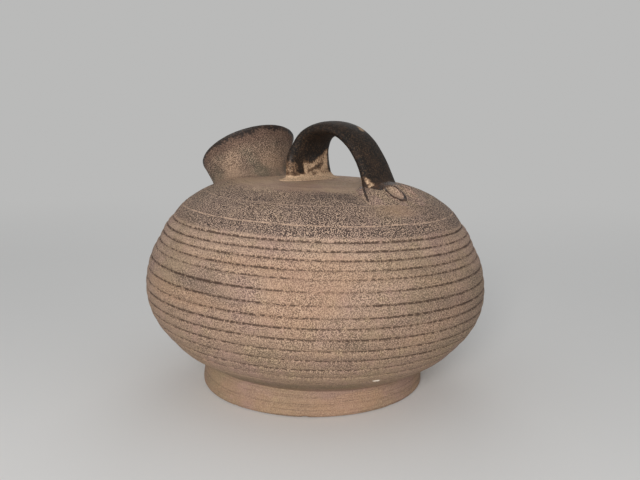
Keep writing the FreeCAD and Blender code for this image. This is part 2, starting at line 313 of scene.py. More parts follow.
# Dark smudges on the shoulder: place, reach along and across the ring, strength
SMUDGES = (
    (41.5, -45.0, 7.0, 5.0, 0.75),
    (50.5, -36.5, 6.0, 5.0, 1.0),
    (33.0, -54.0, 8.0, 6.0, 0.45),
    (16.0, -67.0, 9.0, 5.0, 0.55),
    (66.0, 12.0, 9.0, 5.0, 0.45),
    (-6.0, -63.0, 12.0, 4.0, 0.35),
    (-40.0, 52.0, 12.0, 4.0, 0.5),
)


def spots(table, angle, height):
    """The strength of all spots of a table at a place."""
    total = 0.0
    for heading, level, spread, rise, strength in table:
        total += strength * bell(off_heading(angle, heading), spread) * bell(height - level, rise)
    return total


def wiped(angle, radius):
    """1 in the middle of the wiped patch, 0 away from it."""
    x, y, reach = WIPE
    return bell(math.hypot(radius * math.cos(angle) - x, radius * math.sin(angle) - y), reach)


def grey_stain(angle, height, radius):
    """How grey the clay is: in patches, and most on the shoulder over the ribs."""
    patch = 0.5 + 0.75 * around(angle, 1.8, height * 0.035) + 0.4 * around(angle, 4, height * 0.12)
    over_ribs = smooth(height, 106.8, 108.8)
    shoulder = over_ribs * smooth(height, 127.5, 124)
    band = over_ribs * smooth(height, 113.5, 112)
    shade = 0.24 * patch + shoulder * (0.35 + 0.40 * patch) * (1 - wiped(angle, radius))
    return clamp(shade + 0.2 * band * patch + spots(GREY_SPOTS, angle, height))


def warm_stain(angle, height):
    """How warm the clay's hue is."""
    x, y = math.cos(angle), math.sin(angle)
    patch = wobble(2.2 * x + 4, 2.2 * y, height * 0.05)
    patch += 0.4 * wobble(6 * x, 6 * y + 2, height * 0.2)
    return clamp(0.35 + 0.6 * patch + spots(WARM_SPOTS, angle, height))


def soot(angle, height, radius):
    """Smudges on the shoulder and smoke lying in streaks along the ribs."""
    total = 0.0
    if height > DOME_START:
        x, y = radius * math.cos(angle), radius * math.sin(angle)
        for cx, cy, along, across, strength in SMUDGES:
            heading = math.atan2(cy, cx)
            dx, dy = x - cx, y - cy
            out = dx * math.cos(heading) + dy * math.sin(heading)
            round_it = -dx * math.sin(heading) + dy * math.cos(heading)
            total += 1.5 * strength * bell(out, across) * bell(round_it, along)
    elif height > 40:
        streak = around(angle, 2.2, height * 0.22 + 9)
        total = 0.35 * smooth(streak, 0.18, 0.6) * smooth(height, 104, 98)
    return clamp(total)


CLAY_MARKS = ("height", "run", "groove", "grey", "warm", "grain", "soot")
ANGLES = [TURN * i / COLUMNS for i in range(COLUMNS)]
ROWS = body_rows()
SMOOTH_DOME = sorted(
    ((row[0], row[1]) for row in ROWS if row[3] > RIB_TOP_ROW), key=lambda pair: pair[0])
DOME_RADII = [pair[0] for pair in SMOOTH_DOME]


def dome_height(x, y):
    """Height of the smooth shoulder and crown over a point."""
    r = math.hypot(x, y)
    i = clamp(bisect.bisect_left(DOME_RADII, r), 1, len(DOME_RADII) - 1)
    (r0, z0), (r1, z1) = SMOOTH_DOME[i - 1], SMOOTH_DOME[i]
    return lerp(z0, z1, (r - r0) / (r1 - r0))


def plain_ring(radius, height, marks):
    return [(radius * math.cos(a), radius * math.sin(a), height, *marks) for a in ANGLES]


def lathe_ring(row):
    return [wall_vertex(row, a) for a in ANGLES]


# Thrown body in two halves, luted at the widest ring: radius and height of the inner wall,
# and what the clay's material reads there
FOOT_TOP = 15.5
FLOOR_TOP = 24.0
INSIDE_TOP = 121.6
BOWL_INSIDE = ((100.6, 63.5), (100.3, 52), (95.5, 40), (87, 30.5), (76, 25), (60, FLOOR_TOP),
               (30, FLOOR_TOP))
DOME_INSIDE = ((25, INSIDE_TOP), (45, 121), (62, 118.6), (78, 108), (90.6, 94), (97.5, 79),
               (100.6, 63.5))
INSIDE_STEPS = 8
INSIDE_MARKS = (40.0, 0.0, 0.0, 0.45, 0.3, 0.4, 0.0)


def inside_rings(outline):
    """Rings of the inner wall, with soft throwing rings."""
    rings = []
    for radius, height in spline(outline, INSIDE_STEPS):
        ripple = 0.35 * math.sin(height * 0.9)
        marks = (height, height, 0.10 * (1 - ripple), *INSIDE_MARKS[3:])
        rings.append(plain_ring(radius + ripple * 0.6, height, marks))
    return rings


def make_lower_bowl():
    wall = [row for row in ROWS if row[3] < BELLY_ROW]
    top = next(row for row in ROWS if row[3] == BELLY_ROW)
    rings = [[(0, 0, FOOT_TOP, *INSIDE_MARKS)], plain_ring(40, FOOT_TOP, INSIDE_MARKS)]
    rings += [lathe_ring(row) for row in wall + [top]]
    rings += inside_rings(BOWL_INSIDE)
    rings.append([(0, 0, FLOOR_TOP, *INSIDE_MARKS)])
    return skin("Lower_bowl", rings, CLAY_MARKS)


def make_shoulder_dome():
    """The dome closes through its joint face, so its two skins are one run of rings.

    The last rows crowd round the pole and are left out.
    """
    wall = [row for row in ROWS if row[3] >= BELLY_ROW][:-3]
    outer = [lathe_ring(row) for row in wall]
    pole = [(0, 0, PROFILE[-1][1] - 0.1, *outer[-1][0][3:])]
    inner = [[(0, 0, INSIDE_TOP, *INSIDE_MARKS)]]
    inner += inside_rings(DOME_INSIDE)
    return skin("Shoulder_dome", inner + outer + [pole], CLAY_MARKS)


# Foot ring, worn level: outside and recess, the radius that parts them, and how far the ring
# keeps inside the CAD's
FOOT_OUTER = ((57.6, 0.12), (60.5, 0.1), (69.0, 0.1), (70.6, 0.45), (71.3, 1.5), (71.2, 4.0),
              (70.6, 8.0), (69.9, 12.0), (69.8, 14.2), (70.1, 15.6))
FOOT_INNER = ((57.0, 15.5), (56.7, 12), (56.8, 6), (57.1, 1.4), (57.6, 0.12))
FOOT_OUTSIDE = 60
FOOT_INSET = 0.2


def make_foot_ring():
    """The ring stands level, so its lower edge follows the ground in the leaning frame."""
    to_ground = LEANING.inverted()
    outline = spline(FOOT_OUTER, 6) + spline(FOOT_INNER, 4)[:-1]
    rings = []
    for radius, height in outline:
        ring = []
        for a in ANGLES:
            uneven = chip = 0.0
            if radius > FOOT_OUTSIDE:
                uneven = 0.22 * around(a, 2, 0.1 * height) + 0.10 * around(a, 12, 0.4 * height)
                chip = 0.8 * smooth(around(a, 9, 5.5), 0.35, 0.6) * bell(height - 0.2, 1.2)
            r = radius + uneven - chip - FOOT_INSET
            x, y = r * math.cos(a), r * math.sin(a)
            ground = to_ground @ (LEANING @ Vector((x, y, 0))).to_2d().to_3d()
            z = ground.z * (1 - clamp(height / FOOT_TOP)) + height
            ring.append((x, y, z, *clay_marks(a, height, radius, height - FOOT_TOP, 0.0)))
        rings.append(ring)
    return skin("Foot_ring", rings, CLAY_MARKS, loop=True)


# Spout: a flared neck whose rings tip over towards its slanted mouth
NECK_ORIGIN = Vector((-73.6, 0, 0))
NECK_TURN = Matrix.Rotation(math.radians(-12.5), 3, "Z")
NECK_POINTS = 160

# Centre of the root and of the mouth, as reach from the origin and height, and their tilts
NECK_ROOT = (17.5, 122.0)
NECK_MOUTH = (13.6, 144.5)
NECK_TILT = (20, 34.9)
NECK_LENGTH = 24

# Shares of the neck's height: its hidden end in the dome, and where the lip begins
NECK_END = -0.42
LIP_BASE = 0.90

# Radius of the lip, and the turn over it from which it is glazed as the inside is
LIP = 2.5
GLAZED_TURN = 1.9

# Rings up the wall, over the lip and down the bore
WALL_STEPS = 30
LIP_STEPS = 12
BORE_STEPS = 24

# Side of the neck darkened with painted shade, as a direction in plan
SHADED_SIDE = (-0.772, -0.635)

# What the lip's material reads: millimetres from the mouth, 1 inside, and the hue, which also
# carries painted shade on one side
NECK_MARKS = ("edge", "inside", "warm")


def bezier(a, b, c, t):
    return (1 - t) ** 2 * a + 2 * t * (1 - t) * b + t * t * c


def neck_radius(t):
    return bezier(24.0, 26.0, 32.9, t) if t > 0 else 24.0 + 4.4 * t


def neck_point(t, angle, inset=0.0):
    """Point of the neck at share t of its height, moved in towards its ring's axis."""
    x = bezier(NECK_ROOT[0], 12.0, NECK_MOUTH[0], t) if t > 0 else NECK_ROOT[0] - 11 * t
    z = lerp(NECK_ROOT[1], NECK_MOUTH[1], t)
    tilt = math.radians(lerp(*NECK_TILT, t))
    c, s = math.cos(angle), math.sin(angle)
    uneven = 0.22 * around(angle, 1.7, 1.2 * t) + 0.12 * around(angle, 7, 3 * t)
    across = neck_radius(t) + uneven * smooth(t, 0.1, 0.4) - inset
    local = Vector((
        x + across * c * math.cos(tilt),
        across * s,
        z + across * c * math.sin(tilt),
    ))
    return NECK_ORIGIN + NECK_TURN @ local


def neck_wall(t):
    """Thickness of the neck's wall."""
    return lerp(6.0, 4.6, clamp(t * 1.3))


def make_spout():
    angles = [TURN * i / NECK_POINTS for i in range(NECK_POINTS)]
    rings = []

    def ring(t, inset, edge, inside):
        out = []
        for a in angles:
            # Painted shade: the hue is darkened on one side of the neck
            painted_shade = SHADED_SIDE[0] * math.cos(a) + SHADED_SIDE[1] * math.sin(a)
            warm = 0.55 + 0.6 * around(a, 2, 2 * t) - 0.8 * smooth(painted_shade, 0.35, 0.9)
            out.append((*neck_point(t, a, inset), edge, inside, clamp(warm)))
        return out

    for i in range(WALL_STEPS + 1):
        t = lerp(NECK_END, LIP_BASE, i / WALL_STEPS)
        rings.append(ring(t, 0.0, (1 - t) * NECK_LENGTH, 0.0))
    for i in range(1, LIP_STEPS):
        turn = math.pi * i / LIP_STEPS
        t = lerp(LIP_BASE, 1.0, math.sin(turn) ** 0.7)
        inset = LIP * (1 - math.cos(turn))
        edge = 0.6 + 1.4 * (1 - math.sin(turn))
        rings.append(ring(t, inset, edge, 1.0 if turn > GLAZED_TURN else 0.0))
    for i in range(BORE_STEPS + 1):
        t = lerp(LIP_BASE, NECK_END, i / BORE_STEPS)
        rings.append(ring(t, neck_wall(t) if i else 2 * LIP, (1 - t) * NECK_LENGTH, 1.0))
    return skin("Spout", rings, NECK_MARKS, loop=True)


def make_bore_cutter():
    """The neck's bore, drawn down through the dome."""
    angles = [TURN * i / 96 for i in range(96)]
    shares = (-0.9, -0.6, -0.3, 0.0, 0.3, 0.6)
    rings = [[tuple(neck_point(t, a, neck_wall(t) + 0.05)) for a in angles] for t in shares]
    low, high = ([tuple(neck_point(t, 0, neck_radius(t)))] for t in (shares[0], shares[-1]))
    return skin("bore_cutter", [low, *rings, high], ())


def cut_hole(piece, cutter):
    """Takes the cutter out of the piece for good."""
    hole = piece.modifiers.new("hole", "BOOLEAN")
    hole.operation = "DIFFERENCE"
    hole.solver = "EXACT"
    hole.object = cutter
    bpy.context.view_layer.update()
    cut = piece.evaluated_get(bpy.context.evaluated_depsgraph_get())
    shape = bpy.data.meshes.new_from_object(cut)
    piece.modifiers.clear()
    piece.data = shape
    shape.shade_smooth()
    bpy.data.objects.remove(cutter)


def flare(start, middle, end, steps):
    """Points along a curve from start to end that bends towards the middle."""
    return [Vector([bezier(a, b, c, i / steps) for a, b, c in zip(start, middle, end)])
            for i in range(steps + 1)]


def make_fillet(name, columns, marks, mark_values):
    """Clay smoothed into the angle between a root and the dome.

    A column is the points down the root's side, the meeting point and the outer edge on the dome.
    The last three rings close the piece inside the dome and the root.
    """
    steps = 12
    sunk = 1.5
    curves = [flare(*column, steps) for column in columns]
    rings = []
    for i in range(steps + 1):
        rings.append([(*curve[i], *mark_values(curve[i], n)) for n, curve in enumerate(curves)])
    under, deep, tucked = [], [], []
    for n, (start, middle, end) in enumerate(columns):
        inward = Vector((start.x - end.x, start.y - end.y, 0)).normalized() * sunk
        edge_marks = mark_values(end, n)
        under.append((end.x, end.y, end.z - 1.2, *edge_marks))
        deep.append((*(middle + inward - Vector((0, 0, sunk))), *edge_marks))
        tucked.append((*(start + inward), *mark_values(start, n)))
    return skin(name, rings + [under, deep, tucked], marks, loop=True)


def make_spout_luting():
    columns = []
    centre = NECK_ORIGIN + NECK_TURN @ Vector((NECK_ROOT[0], 0, NECK_ROOT[1]))
    for i in range(NECK_POINTS):
        a = TURN * i / NECK_POINTS
        # Where this line of the neck meets the dome, found by halving
        lo, hi = -0.5, 0.8
        for _ in range(30):
            t = (lo + hi) / 2
            p = neck_point(t, a)
            if p.z < dome_height(p.x, p.y):
                lo = t
            else:
                hi = t
        foot = neck_point(lo, a)
        reach = 3.4 + 0.8 * around(a, 2, 8.0)
        start = neck_point(lo + 0.17 + 0.02 * around(a, 3, 4.0), a, -0.06)
        out = Vector((foot.x - centre.x, foot.y - centre.y, 0)).normalized()
        end = foot + out * reach
        end.z = dome_height(end.x, end.y)
        middle = foot + out * 0.2
        middle.z = dome_height(middle.x, middle.y) + 0.25
        columns.append((start, middle, end))

    def values(_, n):
        return (30.0, 0.0, 0.5 + 0.4 * around(TURN * n / NECK_POINTS, 2, 3.0))

    return make_fillet("Spout_luting", columns, NECK_MARKS, values)


# Handle: stations of the strap's centre line, with width and thickness
STRAP = (
    (-6.0, 126.5, 42.0, 13.6),
    (-7.6, 131.5, 40.0, 12.9),
    (-8.9, 140.0, 37.6, 12.0),
    (-8.1, 148.6, 34.4, 10.8),
    (-3.2, 156.8, 31.2, 10.0),
    (8.3, 161.6, 29.0, 9.3),
    (21.0, 160.3, 27.6, 9.1),
    (31.2, 153.9, 27.0, 9.2),
    (37.0, 147.4, 27.0, 9.3),
    (41.3, 141.0, 27.6, 9.5),
    (44.2, 135.2, 28.8, 9.8),
    (46.9, 129.0, 31.0, 10.4),
    (49.2, 123.6, 34.0, 11.0),
)
STRAP_STEPS = 9
STRAP_POINTS = 96

# Power of the rounded section, 2 for an ellipse
SECTION_POWER = 2.15

# Heights on the front leg of the top of its luting clay and of its root
LUTING_TOP = 132.4
LUTING_ROOT = 128.4


def strap_frames():
    """Stations along the strap: centre, outward direction, half width and half thickness."""
    line = spline(STRAP, STRAP_STEPS)
    out = []
    for i, (x, z, width, thick) in enumerate(line):
        a, b = line[max(i - 1, 0)], line[min(i + 1, len(line) - 1)]
        along = Vector((b[0] - a[0], 0, b[1] - a[1])).normalized()
        outward = Vector((-along.z, 0, along.x))
        out.append((Vector((x, 0, z)), outward, width / 2, thick / 2))
    return out


def strap_point(station, angle, spread=0.0):
    """Angle 0 is the outer face, a quarter turn on is the far edge.

    The near edge is fuller on the front leg, and the inner face is a little hollow.
    """
    centre, outward, half_width, half_thick = station
    c, s = math.cos(angle), math.sin(angle)
    power = 2 / SECTION_POWER
    across = math.copysign(abs(c) ** power, c) * (half_thick + spread)
    near = 1.7 * smooth(centre.z, 152, 144) if s < 0 and centre.x < 0 else 0.0
    side = math.copysign(abs(s) ** power, s) * (half_width + near + spread)
    uneven = 0.25 * wobble(centre.x * 0.06, centre.z * 0.06, side * 0.09)
    uneven += 0.12 * wobble(centre.x * 0.3, centre.z * 0.3, side * 0.3)
    hollow = 0.5 * bell(side, half_width * 0.45) if c < 0 else 0.0
    across = across * (1 + 0.08 * uneven) + hollow
    return centre + outward * across + Vector((0, side * (1 + 0.02 * uneven), 0))


STRAP_STATIONS = strap_frames()


def make_strap():
    rings = []
    for n, station in enumerate(STRAP_STATIONS):
        along = n / (len(STRAP_STATIONS) - 1)
        ring = []
        for i in range(STRAP_POINTS):
            a = TURN * i / STRAP_POINTS
            p = strap_point(station, a)
            ring.append((*p, along, *glaze_marks(p, a, along)))
        rings.append(ring)
    first, last = STRAP_STATIONS[0][0], STRAP_STATIONS[-1][0]
    rings.insert(0, [(*first, 0.0, 1.0, 0.0)])
    rings.append([(*last, 1.0, 0.0, 0.0)])
    return skin("Handle_strap", rings, ("along", "bare", "worn"))


def glaze_marks(p, angle, along):
    """How bare and how worn the glaze is at a point of the strap.

    The front leg is bare at its foot, thin on its near edge and bare in a patch on its inner
    face with a streak of glaze across. The rear leg has a small bare V, the top a worn spot.
    """
    bare = 0.0
    if along < 0.4:
        rough = wobble(p.y * 0.18, 3.0, p.x * 0.15) + 0.5 * wobble(p.y * 0.6, p.z * 0.15, 5.0)
        inner = smooth(math.cos(angle), 0.35, -0.35)
        foot = smooth(p.z + rough, 135.0, 131.5)
        thin = 0.46 * smooth(p.y, -15.5, -18.0) * smooth(p.z + rough, 143.5, 139.5)
        top = lerp(140.0, 148.5, smooth(p.y, -4, 12)) + 1.2 * rough
        patch = smooth(p.z, top + 1.6, top - 1.6)
        patch *= smooth(p.y, -12.6, -10.4) * smooth(p.y, 14.5, 12.0)
        streak = bell(p.z - 134.8 - 0.26 * (p.y + 8.5), 0.9)
        streak *= smooth(p.y, -10, -6) * smooth(p.y, 10, 6)
        patch *= inner * (1 - 0.55 * streak)
        bare = max(foot, thin, 0.78 * patch)
    worn = 1.2 * bell(p.x - 27.0, 3.4) * bell(p.y - 5.5, 4.0) * smooth(math.cos(angle), 0.0, 0.4)
    if along > 0.8:
        line = lerp(135.6, 128.5, clamp((p.y + 14.2) / 7.2))
        line += 0.8 * wobble(p.y * 0.8, p.z * 0.4, 2.0)
        bare = 0.66 * smooth(p.z, line + 1.0, line - 1.0)
        bare *= smooth(p.y, -15.2, -14.2) * smooth(p.y, -6.0, -8.0)
    return bare, worn


def station_at(height):
    """The strap's station on its front leg at a height."""
    front = STRAP_STATIONS[:len(STRAP_STATIONS) // 3]
    return min(front, key=lambda station: abs(station[0].z - height))


def make_front_luting():
    columns = []
    station = station_at(LUTING_TOP)
    root = station_at(LUTING_ROOT)
    for i in range(STRAP_POINTS):
        a = TURN * i / STRAP_POINTS
        start = strap_point(station, a, 0.08)
        foot = strap_point(root, a)
        out = Vector((foot.x - root[0].x, (foot.y - root[0].y) * 0.5, 0)).normalized()
        end = foot + out * (5.2 + 1.2 * around(a, 2, 1.0))
        end.z = dome_height(end.x, end.y) + 0.02
        middle = foot + out * 0.3
        middle.z = dome_height(middle.x, middle.y) + 0.6
        columns.append((start, middle, end))

    def values(point, n):
        bare, _ = glaze_marks(point, TURN * n / STRAP_POINTS, 0.1)
        return (0.1, bare, 0.0)

    return make_fillet("Front_handle_luting", columns, ("along", "bare", "worn"), values)


# Pad of clay pressed down round the rear root, fanning out in two tails with two finger dents:
# how far it reaches by heading, the dents' places and sizes, and the ends of the tails
PAD_CENTRE = Vector((50.0, -1.0))
PAD_REACH = (
    (-180, 8.5), (-130, 14.0), (-100, 21.0), (-80, 29.0), (-69, 33.5), (-56, 28.5), (-35, 25.0),
    (0, 24.0), (35, 25.0), (56, 27.5), (69, 30.0), (80, 27.0), (100, 20.0), (130, 14.0), (180, 8.5),
)
DENTS = ((62.0, -6.9), (62.3, 8.0))
DENT_SIZE = (6.0, 4.6)
TAILS = (((44.0, -13.0), (61.7, -31.2)), ((45.0, 13.0), (60.5, 28.5)))
PAD_RISE = 4.6
TAIL_RISE = 1.9
DENT_DEPTH = 2.0
DENT_RIM = 0.7


def pad_reach(angle):
    turn = off_heading(angle, 0)
    for (a, ra), (b, rb) in zip(PAD_REACH, PAD_REACH[1:]):
        if turn <= b:
            return lerp(ra, rb, smooth(turn, a, b))
    return PAD_REACH[-1][1]


def from_tail(x, y, tail):
    """Distance from the ridge of a tail and the share of the way down it."""
    (x0, y0), (x1, y1) = tail
    length = math.dist(*tail)
    share = ((x - x0) * (x1 - x0) + (y - y0) * (y1 - y0)) / length ** 2
    bend = 1.2 * math.sin(math.pi * clamp(share))
    across = ((x - x0) * (y1 - y0) - (y - y0) * (x1 - x0)) / length
    return abs(across - math.copysign(bend, -y0)), share


def from_dent(x, y, dent):
    """Distance from the middle of a dent, 1 at its edge."""
    return math.hypot((x - dent[0]) / DENT_SIZE[0], (y - dent[1]) / DENT_SIZE[1])


def pad_height(x, y, edge):
    """Height of the pad's clay over the dome."""
    body = PAD_RISE * smooth(edge, 1.0, 0.1) ** 1.2
    for tail in TAILS:
        away, share = from_tail(x, y, tail)
        ridge = bell(away, 1.8) * smooth(share, 0.05, 0.25) * smooth(share, 1.05, 0.35)
        body += TAIL_RISE * ridge
    for dent in DENTS:
        far = from_dent(x, y, dent)
        body -= DENT_DEPTH * smooth(far, 1.0, 0.35)
        body += DENT_RIM * bell(far - 1.12, 0.2) * smooth(x, 54, 60)
    body -= 1.6 * bell(x - 54.0, 3.2) * (bell(y + 12.6, 2.8) + bell(y - 12.2, 2.8))
    body += 0.25 * wobble(x * 0.5, y * 0.5, 2.0) * smooth(edge, 1.0, 0.7)
    return max(body, 0.0)


def pad_glaze(x, y):
    """Dark glaze left under the strap, along the tails and round the dents."""
    cover = smooth(x, 55.0, 50.5) * smooth(abs(y + 0.5), 15.5, 13.0)
    cover = max(cover, 0.62 * smooth(x, 59.5, 55.0) * smooth(abs(y - 1.0), 13.0, 9.5))
    for corner in (-12.2, 12.0):
        cover = max(cover, bell(x - 54.0, 4.0) * bell(y - corner, 3.4))
    for tail in TAILS:
        away, share = from_tail(x, y, tail)
        cover = max(cover, bell(away, 0.75) * smooth(share, 0.0, 0.15) * smooth(share, 1.1, 0.8))
    for dent in DENTS:
        far = from_dent(x, y, dent)
        ring = bell(far - 1.12, 0.20) * (0.85 + 0.7 * wobble(x * 0.35, y * 0.35, 4.0))
        cover = max(cover, ring * (1.0 if dent[1] < 0 else 0.3))
    return clamp(cover)


def make_rear_pad():
    steps, count = 84, 240

    def vertex(x, y, h):
        dent = max(smooth(from_dent(x, y, each), 1.0, 0.7) for each in DENTS)
        return (x, y, dome_height(x, y) + h, pad_glaze(x, y), dent)

    rings = []
    for k in range(steps + 1):
        edge = (k / steps) ** 0.85
        ring = []
        for i in range(count):
            a = TURN * i / count
            reach = pad_reach(a) * (1.0 + 0.04 * around(a, 2, 0.5))
            x = PAD_CENTRE.x + edge * reach * math.cos(a)
            y = PAD_CENTRE.y + edge * reach * math.sin(a)
            ring.append(vertex(x, y, pad_height(x, y, edge) - 0.12))
        rings.append(ring if k else [ring[0]])
    under = [(x, y, z - 2.0, *marks) for x, y, z, *marks in rings[-1]]
    x, y, z, *marks = rings[0][0]
    rings += [under, [(x, y, z - 8.0, *marks)]]
    return skin("Rear_handle_pad", rings, ("glaze", "dent"))


# Materials
def srgb(r, g, b):
    def linear(c):
        c /= 255
        return c / 12.92 if c <= 0.04045 else ((c + 0.055) / 1.055) ** 2.4
    return (linear(r), linear(g), linear(b), 1.0)


# Chip on the lower wall, in metres
CHIP = LEANING @ Vector((79.4, -40.5, 27.6)) * MM

# Clay colour by share of the full height
FULL_HEIGHT = 130.0
CLAY_RAMP = (
    (0.0, srgb(157, 128, 104)),
    (0.10, srgb(156, 128, 104)),
    (0.15, srgb(152, 128, 103)),
    (0.22, srgb(156, 130, 107)),
    (0.45, srgb(160, 132, 110)),
    (0.70, srgb(178, 149, 127)),
    (0.821, srgb(184, 155, 133)),
    (0.836, srgb(152, 129, 114)),
    (0.94, srgb(160, 136, 119)),
    (0.975, srgb(188, 158, 131)),
)

# Thin pale lines on the shoulder: height and half width. The pale incised line is a painted
# highlight along its edge, the second a chalky line
INCISED_HIGHLIGHT = (113.25, 0.42)
SECOND_LINE = (121.9, 0.30)

# Share of the strap's length where its glaze ran thick and glassy
GLOSSY_PART = 0.17


class Shader:
    """A new material, or the world, and short ways to add nodes to it."""

    def __init__(self, name, library=bpy.data.materials):
        self.owner = library.new(name)
        self.owner.use_nodes = True
        self.tree = self.owner.node_tree
        self.principled = self.tree.nodes.get("Principled BSDF")
        self.place = self.add("ShaderNodeTexCoord").outputs["Object"]

    def add(self, kind, **settings):
        node = self.tree.nodes.new(kind)
        for key, value in settings.items():
            setattr(node, key, value)
        return node

    def feed(self, socket, value):
        if isinstance(value, bpy.types.NodeSocket):
            self.tree.links.new(value, socket)
        else:
            socket.default_value = value

    def mark(self, name):
        return self.add("ShaderNodeAttribute", attribute_name=name).outputs["Fac"]

    def maths(self, operation, a, b=0.0):
        node = self.add("ShaderNodeMath", operation=operation)
        for socket, value in zip(node.inputs, (a, b)):
            self.feed(socket, value)
        return node.outputs[0]

    def times(self, a, b):
        return self.maths("MULTIPLY", a, b)

    def plus(self, a, b):
        return self.maths("ADD", a, b)

    def most(self, a, b):
        return self.maths("MAXIMUM", a, b)

    def vector(self, operation, a, b=(0, 0, 0)):
        node = self.add("ShaderNodeVectorMath", operation=operation)
        self.feed(node.inputs[0], a)
        self.feed(node.inputs[1], b)
        return node.outputs["Value" if operation == "LENGTH" else "Vector"]

    def noise(self, scale, detail=2.0, rough=0.5, place=None):
        node = self.add("ShaderNodeTexNoise")
        self.feed(node.inputs["Vector"], place or self.place)
        node.inputs["Scale"].default_value = scale
        node.inputs["Detail"].default_value = detail
        node.inputs["Roughness"].default_value = rough
        return node.outputs["Fac"]

    def rings(self, run, tightness):
        """Noise drawn out into long streaks round the lathe, tight along the run of the wall."""
        split = self.add("ShaderNodeSeparateXYZ")
        self.feed(split.inputs[0], self.place)
        join = self.add("ShaderNodeCombineXYZ")
        self.feed(join.inputs[0], self.times(split.outputs[0], 22.0))
        self.feed(join.inputs[1], self.times(split.outputs[1], 22.0))
        self.feed(join.inputs[2], self.times(run, tightness))
        return self.noise(1.0, 3, 0.6, join.outputs[0])

    def line(self, value, centre, width):
        """1 on a thin line where the value passes its centre."""
        off = self.maths("ABSOLUTE", self.maths("SUBTRACT", value, centre))
        return self.span(off, width, width * 0.3)

    def near(self, point, reach):
        """1 in a small ragged spot, longer than high, round a point."""
        off = self.vector("SUBTRACT", self.place, point)
        away = self.vector("LENGTH", self.vector("MULTIPLY", off, (1, 1, 2.4)))
        ragged = self.span(self.noise(600, 2, 0.6), 0.3, 0.7, -0.3 * reach, 0.3 * reach)
        return self.span(self.plus(away, ragged), reach, 0.6 * reach)

    def span(self, value, lo, hi, out_lo=0.0, out_hi=1.0):
        node = self.add("ShaderNodeMapRange", interpolation_type="SMOOTHSTEP")
        for socket, item in zip(node.inputs, (value, lo, hi, out_lo, out_hi)):
            self.feed(socket, item)
        return node.outputs[0]

    def ramp(self, value, stops):
        node = self.add("ShaderNodeValToRGB")
        elements = node.color_ramp.elements
        while len(elements) < len(stops):
            elements.new(0.5)
        for element, (position, colour) in zip(elements, stops):
            element.position = position
            element.color = colour
        self.feed(node.inputs[0], value)
        return node.outputs[0]

    def mix(self, factor, a, b):
        node = self.add("ShaderNodeMix", data_type="RGBA")
        self.feed(node.inputs["Factor"], factor)
        for name, colour in (("A", a), ("B", b)):
            sockets = [s for s in node.inputs if s.name == name and s.type == "RGBA"]
            self.feed(sockets[0], colour)
        return [s for s in node.outputs if s.type == "RGBA"][0]

    def wash(self, base, colour, value, lo, hi, amount=1.0):
        """The colour over the base, up to the amount where the value goes from lo to hi."""
        return self.mix(self.span(value, lo, hi, 0.0, amount), base, colour)

    def bump(self, height, distance, strength=1.0, normal=None):
        node = self.add("ShaderNodeBump")
        node.inputs["Strength"].default_value = strength
        node.inputs["Distance"].default_value = distance
        self.feed(node.inputs["Height"], height)
        if normal:
            self.feed(node.inputs["Normal"], normal)
        return node.outputs[0]

    def finish(self, colour, roughness, normal, shine=0.35):
        self.feed(self.principled.inputs["Base Color"], colour)
        self.feed(self.principled.inputs["Roughness"], roughness)
        self.feed(self.principled.inputs["Normal"], normal)
        self.principled.inputs["Specular IOR Level"].default_value = shine
        return self.owner

    def show_backdrop(self, kind, lit, output, share=1.0):
        """Puts the backdrop's own colour over the lit node, only where a ray looks at it."""
        path = self.add("ShaderNodeLightPath")
        seen = self.most(path.outputs["Is Camera Ray"], path.outputs["Is Glossy Ray"])
        seen = self.most(seen, path.outputs["Is Transmission Ray"])
        glow = self.add(kind)
        glow.inputs["Color"].default_value = BACKDROP
        choice = self.add("ShaderNodeMixShader")
        parts = (self.times(seen, share), lit.outputs[0], glow.outputs[0])
        for socket, value in zip(choice.inputs, parts):
            self.feed(socket, value)
        self.feed(self.tree.nodes[output].inputs["Surface"], choice.outputs[0])


def speckled(shader, colour, amount):
    """Salt-and-pepper grain of the stoneware, as strong as the amount says."""
    fine = shader.noise(1750, 1, 0.5)
    coarse = shader.noise(620, 2, 0.55)
    drift = shader.times(amount, shader.span(coarse, 0.42, 0.64, 0.0, 0.42))
    pepper = shader.times(amount, shader.span(fine, 0.50, 0.58, 0.0, 1.0))
    salt = shader.times(amount, shader.span(fine, 0.47, 0.39, 0.0, 0.72))
    colour = shader.mix(drift, colour, srgb(96, 77, 67))
    colour = shader.mix(pepper, colour, srgb(52, 40, 35))
    return shader.mix(salt, colour, srgb(214, 182, 156)), fine, coarse


